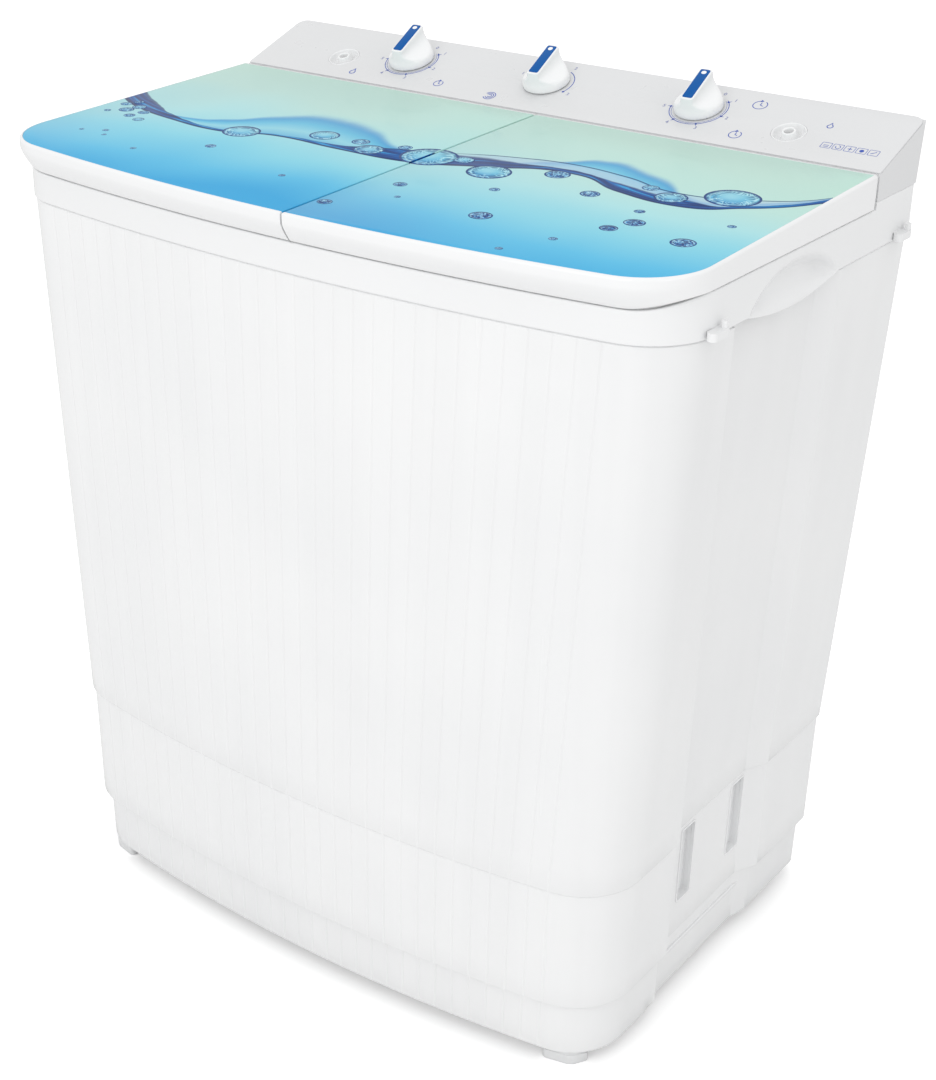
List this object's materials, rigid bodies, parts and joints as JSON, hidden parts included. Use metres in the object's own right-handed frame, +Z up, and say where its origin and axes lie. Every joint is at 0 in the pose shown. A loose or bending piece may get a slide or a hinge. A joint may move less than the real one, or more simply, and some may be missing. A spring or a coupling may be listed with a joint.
{
  "type": "twin tub washer",
  "caption": "Freestanding twin tub washer: pulsator wash tub and spin basket side by side under printed glass lids, with rotary timers on a sloped rear console.",
  "frame": {"origin": "on the floor, below the centre of the machine's bounding box", "axes": "+Z up, +X to the right seen from the front, the front faces -Y"},
  "size_m": [0.76, 0.48, 0.8607],
  "materials": {
    "white_gloss": "glossy white moulded plastic",
    "white_fluted": "glossy white plastic with fine upright flutes",
    "fascia_grey": "satin light grey panel with printed dials",
    "blue_insert": "glossy deep blue",
    "printed_glass": "tempered glass with a printed water pattern behind",
    "inner_white": "satin white polypropylene",
    "grey_plastic": "satin grey plastic",
    "black_rubber": "matte",
    "grey_rubber": "matte",
    "steel": "brushed",
    "zinc_steel": "zinc plated sheet steel",
    "motor_paint": "dark grey paint",
    "alu": "die cast"
  },
  "bodies": {
    "cabinet": {"base": "white_gloss", "rubber_feet": "black_rubber", "body_shell": "white_fluted", "rear_panel": "white_gloss", "rear_panel_screws": "steel", "top_frame": "white_gloss", "hose_clips": "white_gloss", "console_housing": "white_gloss", "console_fascia": "fascia_grey", "water_inlets": "white_gloss", "fill_tubes": "grey_rubber", "wash_timer": "grey_plastic", "mode_switch": "grey_plastic", "spin_timer": "grey_plastic", "wash_tub": "inner_white", "lint_filter": "inner_white", "wash_bearing_housing": "alu", "drive_belt": "black_rubber", "wash_motor": "motor_paint", "wash_motor_bracket": "zinc_steel", "spin_motor": "motor_paint", "motor_springs": "steel", "motor_mounts": "grey_plastic", "spin_tub": "inner_white", "spin_shaft_seal": "black_rubber", "brake_post": "zinc_steel", "drain_valve_body": "grey_plastic", "drain_hose": "grey_rubber", "drain_outlet": "grey_plastic", "spin_drain_tube": "grey_rubber", "capacitor": "alu", "wiring_loom": "black_rubber", "power_cord": "black_rubber"},
    "wash_lid": {"wash_lid_frame": "white_gloss", "wash_lid_glass": "printed_glass", "wash_lid_pins": "steel"},
    "spin_lid": {"spin_lid_frame": "white_gloss", "spin_lid_glass": "printed_glass", "spin_lid_pins": "steel"},
    "wash_timer_dial": {"wash_timer_knob": "white_gloss", "wash_knob_insert": "blue_insert", "wash_timer_shaft": "steel"},
    "mode_dial": {"mode_knob": "white_gloss", "mode_knob_insert": "blue_insert", "mode_shaft": "steel"},
    "spin_timer_dial": {"spin_timer_knob": "white_gloss", "spin_knob_insert": "blue_insert", "spin_timer_shaft": "steel"},
    "pulsator_drive": {"pulsator": "grey_plastic", "pulsator_shaft": "steel", "drive_pulley": "alu"},
    "wash_motor_rotor": {"motor_pulley": "alu", "wash_motor_shaft": "steel"},
    "spin_rotor": {"spin_basket": "inner_white", "balance_ring": "grey_plastic", "spin_shaft": "steel", "brake_drum": "zinc_steel"},
    "brake_arm": {"brake_lever": "zinc_steel", "brake_shoe": "black_rubber"},
    "drain_lift": {"drain_plunger": "black_rubber"}
  },
  "joints": [
    {"name": "wash_lid_hinge", "type": "hinge", "parent": "cabinet", "child": "wash_lid", "pos_m": [-0.182, 0.136, 0.7964], "axis": [-1, 0, 0], "range_deg": [0, 85]},
    {"name": "spin_lid_hinge", "type": "hinge", "parent": "cabinet", "child": "spin_lid", "pos_m": [0.191, 0.136, 0.7964], "axis": [-1, 0, 0], "range_deg": [0, 85]},
    {"name": "wash_timer_turn", "type": "hinge", "parent": "cabinet", "child": "wash_timer_dial", "pos_m": [-0.185, 0.19598, 0.82383], "axis": [0, 0.3396, -0.9406], "range_deg": [0, 300]},
    {"name": "mode_turn", "type": "hinge", "parent": "cabinet", "child": "mode_dial", "pos_m": [-0.016, 0.19598, 0.82383], "axis": [0, 0.3396, -0.9406], "range_deg": [-60, 60]},
    {"name": "spin_timer_turn", "type": "hinge", "parent": "cabinet", "child": "spin_timer_dial", "pos_m": [0.158, 0.19598, 0.82383], "axis": [0, 0.3396, -0.9406], "range_deg": [0, 300]},
    {"name": "pulsator_turn", "type": "hinge", "parent": "cabinet", "child": "pulsator_drive", "pos_m": [-0.178, -0.028, 0.3], "axis": [0, 0, 1], "continuous": true},
    {"name": "wash_motor_turn", "type": "hinge", "parent": "cabinet", "child": "wash_motor_rotor", "pos_m": [-0.045, 0.095, 0.2], "axis": [0, 0, 1], "continuous": true},
    {"name": "spin_basket_turn", "type": "hinge", "parent": "cabinet", "child": "spin_rotor", "pos_m": [0.183, -0.028, 0.3], "axis": [0, 0, 1], "continuous": true},
    {"name": "brake_lever_pivot", "type": "hinge", "parent": "cabinet", "child": "brake_arm", "pos_m": [0.265, -0.074, 0.237], "axis": [0, 0, 1], "range_deg": [0, 2.55]},
    {"name": "drain_lift_slide", "type": "slide", "parent": "cabinet", "child": "drain_lift", "axis": [0, 0, 1], "range_m": [-0.012, 0]}
  ],
  "couplings": [
    {"joint": "wash_motor_turn", "follows": "pulsator_turn", "ratio": 3.1905},
    {"joint": "brake_lever_pivot", "follows": "spin_lid_hinge", "ratio": 0.03}
  ]
}
